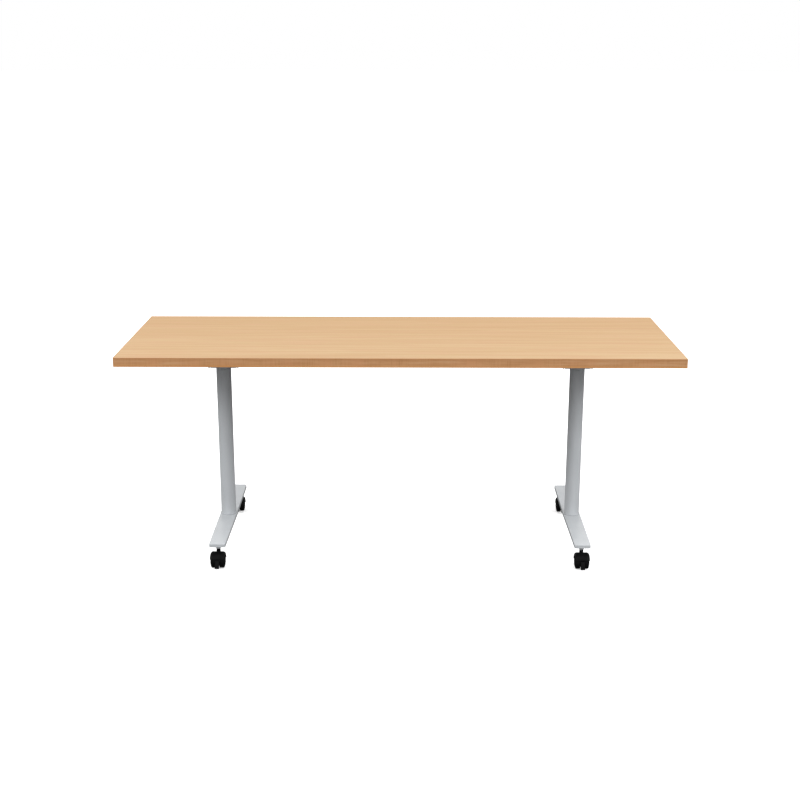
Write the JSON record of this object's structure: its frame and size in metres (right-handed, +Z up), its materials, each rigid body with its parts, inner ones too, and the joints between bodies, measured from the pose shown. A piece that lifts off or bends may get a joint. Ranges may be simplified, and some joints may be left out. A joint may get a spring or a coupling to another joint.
{
  "type": "mobile table",
  "caption": "Rectangular work table whose laminate top tilts upright on two silver T-shaped legs that roll on braked twin-wheel casters.",
  "frame": {"origin": "on the floor, under the middle of the top", "axes": "+X along the table's length to the right, +Y away from the user, +Z up"},
  "size_m": [1.829, 0.65, 0.73],
  "materials": {
    "beech_laminate": "satin laminate, beech print along X",
    "beech_edge_band": "satin edge band",
    "silver_paint": "fine silver powder coat",
    "bright_steel": "zinc plated",
    "black_nylon": "moulded, slightly glossy",
    "pale_nylon": "moulded"
  },
  "bodies": {
    "frame": {"cross_tube": "silver_paint", "foot_left": "silver_paint", "column_left": "silver_paint", "column_plug_left": "bright_steel", "column_bolt_left": "bright_steel", "column_head_left": "silver_paint", "tube_cap_left": "black_nylon", "foot_right": "silver_paint", "column_right": "silver_paint", "column_plug_right": "bright_steel", "column_bolt_right": "bright_steel", "column_head_right": "silver_paint", "tube_cap_right": "black_nylon", "caster_socket_front_left": "silver_paint", "caster_stem_front_left": "bright_steel", "caster_socket_front_right": "silver_paint", "caster_stem_front_right": "bright_steel", "caster_socket_back_left": "silver_paint", "caster_stem_back_left": "bright_steel", "caster_socket_back_right": "silver_paint", "caster_stem_back_right": "bright_steel"},
    "top": {"tabletop": "beech_laminate", "edge_band": "beech_edge_band", "tilt_bracket_left": "silver_paint", "pawl_spring_left": "bright_steel", "tilt_bracket_right": "silver_paint", "pawl_spring_right": "bright_steel", "tilt_bush_left_a": "pale_nylon", "tilt_bush_left_b": "pale_nylon", "tilt_bush_right_a": "pale_nylon", "tilt_bush_right_b": "pale_nylon"},
    "release": {"release_rod": "bright_steel", "latch_pawl_left": "bright_steel", "release_paddle_left": "black_nylon", "latch_pawl_right": "bright_steel", "release_paddle_right": "black_nylon"},
    "caster_front_left": {"caster_hood_front_left": "black_nylon", "caster_axle_front_left": "bright_steel"},
    "wheel_front_left_inner": {"caster_wheel_front_left_inner": "black_nylon"},
    "wheel_front_left_outer": {"caster_wheel_front_left_outer": "black_nylon"},
    "brake_front_left": {"brake_lever_front_left": "black_nylon"},
    "caster_front_right": {"caster_hood_front_right": "black_nylon", "caster_axle_front_right": "bright_steel"},
    "wheel_front_right_inner": {"caster_wheel_front_right_inner": "black_nylon"},
    "wheel_front_right_outer": {"caster_wheel_front_right_outer": "black_nylon"},
    "brake_front_right": {"brake_lever_front_right": "black_nylon"},
    "caster_back_left": {"caster_hood_back_left": "black_nylon", "caster_axle_back_left": "bright_steel"},
    "wheel_back_left_inner": {"caster_wheel_back_left_inner": "black_nylon"},
    "wheel_back_left_outer": {"caster_wheel_back_left_outer": "black_nylon"},
    "brake_back_left": {"brake_lever_back_left": "black_nylon"},
    "caster_back_right": {"caster_hood_back_right": "black_nylon", "caster_axle_back_right": "bright_steel"},
    "wheel_back_right_inner": {"caster_wheel_back_right_inner": "black_nylon"},
    "wheel_back_right_outer": {"caster_wheel_back_right_outer": "black_nylon"},
    "brake_back_right": {"brake_lever_back_right": "black_nylon"}
  },
  "joints": [
    {"name": "top_tilt", "type": "hinge", "parent": "frame", "child": "top", "pos_m": [0, 0, 0.651], "axis": [1, 0, 0], "range_deg": [0, 90]},
    {"name": "release_turn", "type": "hinge", "parent": "top", "child": "release", "pos_m": [0, 0.052, 0.676], "axis": [-1, 0, 0], "range_deg": [0, 15], "stiffness_Nm_per_rad": 1.2, "springref_deg": -14.32},
    {"name": "swivel_front_left", "type": "hinge", "parent": "frame", "child": "caster_front_left", "pos_m": [-0.609, -0.27, 0], "axis": [0, 0, 1], "continuous": true},
    {"name": "roll_front_left_inner", "type": "hinge", "parent": "caster_front_left", "child": "wheel_front_left_inner", "pos_m": [-0.609, -0.288, 0.025], "axis": [1, 0, 0], "continuous": true},
    {"name": "roll_front_left_outer", "type": "hinge", "parent": "caster_front_left", "child": "wheel_front_left_outer", "pos_m": [-0.609, -0.288, 0.025], "axis": [1, 0, 0], "continuous": true},
    {"name": "brake_front_left", "type": "hinge", "parent": "caster_front_left", "child": "brake_front_left", "pos_m": [-0.609, -0.3005, 0.03795], "axis": [1, 0, 0], "range_deg": [0, 14]},
    {"name": "swivel_front_right", "type": "hinge", "parent": "frame", "child": "caster_front_right", "pos_m": [0.609, -0.27, 0], "axis": [0, 0, 1], "continuous": true},
    {"name": "roll_front_right_inner", "type": "hinge", "parent": "caster_front_right", "child": "wheel_front_right_inner", "pos_m": [0.609, -0.288, 0.025], "axis": [1, 0, 0], "continuous": true},
    {"name": "roll_front_right_outer", "type": "hinge", "parent": "caster_front_right", "child": "wheel_front_right_outer", "pos_m": [0.609, -0.288, 0.025], "axis": [1, 0, 0], "continuous": true},
    {"name": "brake_front_right", "type": "hinge", "parent": "caster_front_right", "child": "brake_front_right", "pos_m": [0.609, -0.3005, 0.03795], "axis": [1, 0, 0], "range_deg": [0, 14]},
    {"name": "swivel_back_left", "type": "hinge", "parent": "frame", "child": "caster_back_left", "pos_m": [-0.609, 0.27, 0], "axis": [0, 0, 1], "continuous": true},
    {"name": "roll_back_left_inner", "type": "hinge", "parent": "caster_back_left", "child": "wheel_back_left_inner", "pos_m": [-0.609, 0.252, 0.025], "axis": [1, 0, 0], "continuous": true},
    {"name": "roll_back_left_outer", "type": "hinge", "parent": "caster_back_left", "child": "wheel_back_left_outer", "pos_m": [-0.609, 0.252, 0.025], "axis": [1, 0, 0], "continuous": true},
    {"name": "brake_back_left", "type": "hinge", "parent": "caster_back_left", "child": "brake_back_left", "pos_m": [-0.609, 0.2395, 0.03795], "axis": [1, 0, 0], "range_deg": [0, 14]},
    {"name": "swivel_back_right", "type": "hinge", "parent": "frame", "child": "caster_back_right", "pos_m": [0.609, 0.27, 0], "axis": [0, 0, 1], "continuous": true},
    {"name": "roll_back_right_inner", "type": "hinge", "parent": "caster_back_right", "child": "wheel_back_right_inner", "pos_m": [0.609, 0.252, 0.025], "axis": [1, 0, 0], "continuous": true},
    {"name": "roll_back_right_outer", "type": "hinge", "parent": "caster_back_right", "child": "wheel_back_right_outer", "pos_m": [0.609, 0.252, 0.025], "axis": [1, 0, 0], "continuous": true},
    {"name": "brake_back_right", "type": "hinge", "parent": "caster_back_right", "child": "brake_back_right", "pos_m": [0.609, 0.2395, 0.03795], "axis": [1, 0, 0], "range_deg": [0, 14]}
  ]
}
